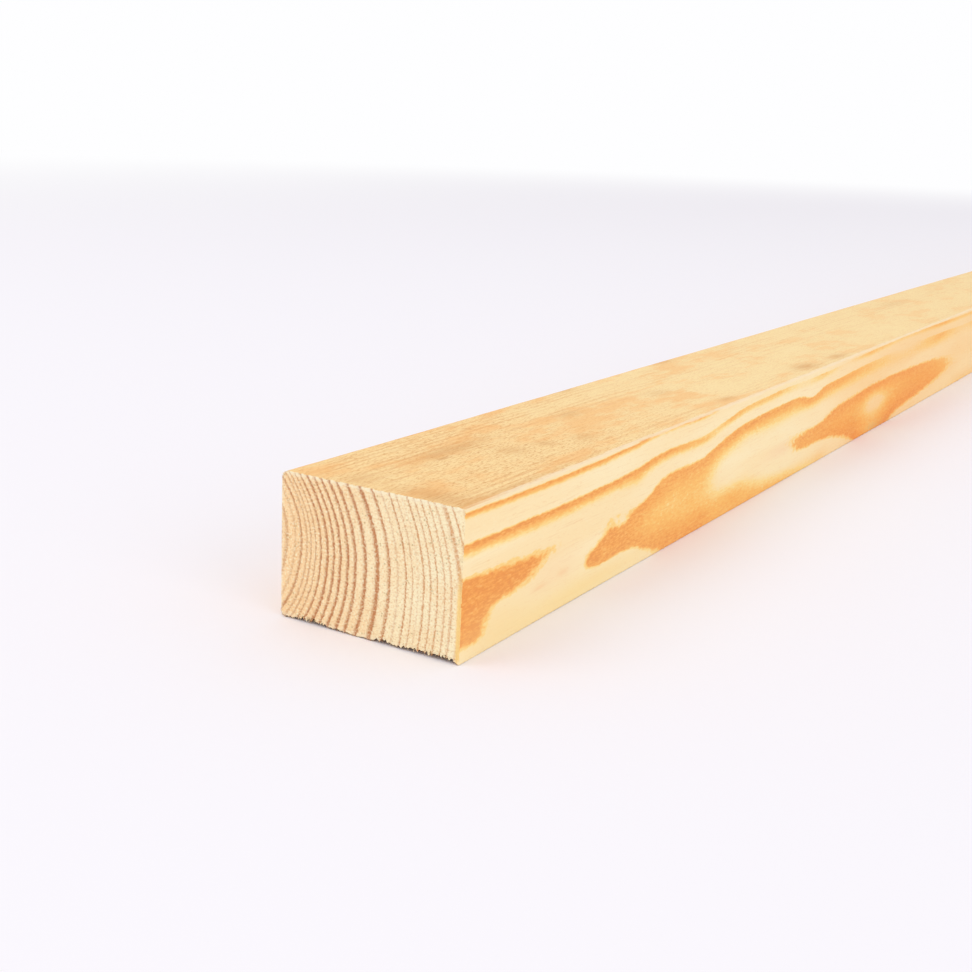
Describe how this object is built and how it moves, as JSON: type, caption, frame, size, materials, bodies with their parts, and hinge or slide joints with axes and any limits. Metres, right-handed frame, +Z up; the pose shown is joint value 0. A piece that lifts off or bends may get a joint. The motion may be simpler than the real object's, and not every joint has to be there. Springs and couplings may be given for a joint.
{
  "type": "timber plank",
  "caption": "Straight piece of sawn softwood with a near-square section, eased long arrises and square-cut ends, lying on its wider face.",
  "frame": {"origin": "middle of the bottom face, in the plane the piece lies on", "axes": "+Y along the length, away from the sawn end that faces the viewer; +X across the wider side, to that viewer's right; +Z up"},
  "size_m": [0.07, 2.4, 0.05],
  "materials": {
    "wood": "sawn softwood, unfinished"
  },
  "bodies": {
    "root": {"plank": "wood"}
  },
  "joints": []
}
